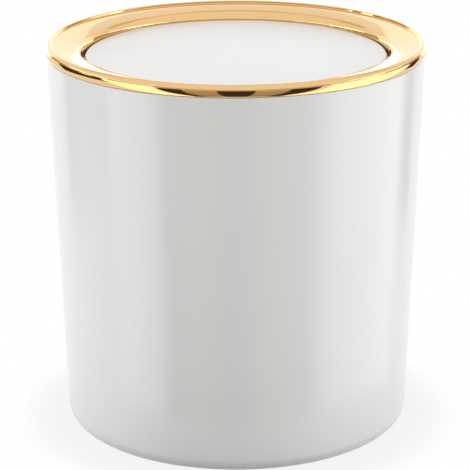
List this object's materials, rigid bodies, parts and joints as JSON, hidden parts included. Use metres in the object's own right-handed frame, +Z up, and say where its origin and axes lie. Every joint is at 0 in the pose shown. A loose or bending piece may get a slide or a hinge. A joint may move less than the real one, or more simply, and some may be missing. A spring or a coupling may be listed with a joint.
{
  "type": "desktop trash can",
  "caption": "Round tapered desktop bin with a plated funnel-shaped rim and a flat self-levelling swing panel that tips to let litter in.",
  "frame": {"origin": "middle of the base, on the surface the bin stands on", "axes": "+Z up, the panel's pivot axis along X, the front of the bin towards -Y"},
  "size_m": [0.1574, 0.1574, 0.1641],
  "materials": {
    "white_abs_gloss": "moulded, high gloss",
    "white_abs_panel": "moulded, soft gloss",
    "white_abs_satin": "moulded, satin",
    "gold_plated_abs": "gold plated on moulded plastic, mirror bright",
    "turned_steel": "turned, bright",
    "zinc_plated_steel": "zinc plated",
    "acetal_natural": "moulded, waxy",
    "foot_rubber": "moulded, matt"
  },
  "bodies": {
    "bin": {"bin_body": "white_abs_gloss", "foot_pad_front_left": "foot_rubber", "foot_pad_front_right": "foot_rubber", "foot_pad_back_right": "foot_rubber", "foot_pad_back_left": "foot_rubber"},
    "lid": {"rim_ring": "gold_plated_abs", "lid_frame": "white_abs_satin", "pivot_pin_right": "turned_steel", "pivot_pin_left": "turned_steel"},
    "swing_lid": {"swing_panel": "white_abs_panel", "underside_cover": "white_abs_satin", "counterweight_front": "zinc_plated_steel", "counterweight_back": "zinc_plated_steel", "pivot_bush_right": "acetal_natural", "pivot_bush_left": "acetal_natural", "cover_screw_front_left": "zinc_plated_steel", "cover_screw_front_right": "zinc_plated_steel", "cover_screw_back_right": "zinc_plated_steel", "cover_screw_back_left": "zinc_plated_steel"}
  },
  "joints": [
    {"name": "lid_lift", "type": "slide", "parent": "bin", "child": "lid", "axis": [0, 0, 1], "range_m": [0, 0.08]},
    {"name": "lid_swing", "type": "hinge", "parent": "lid", "child": "swing_lid", "pos_m": [0, 0, 0.15409], "axis": [1, 0, 0], "range_deg": [-75, 75]}
  ]
}
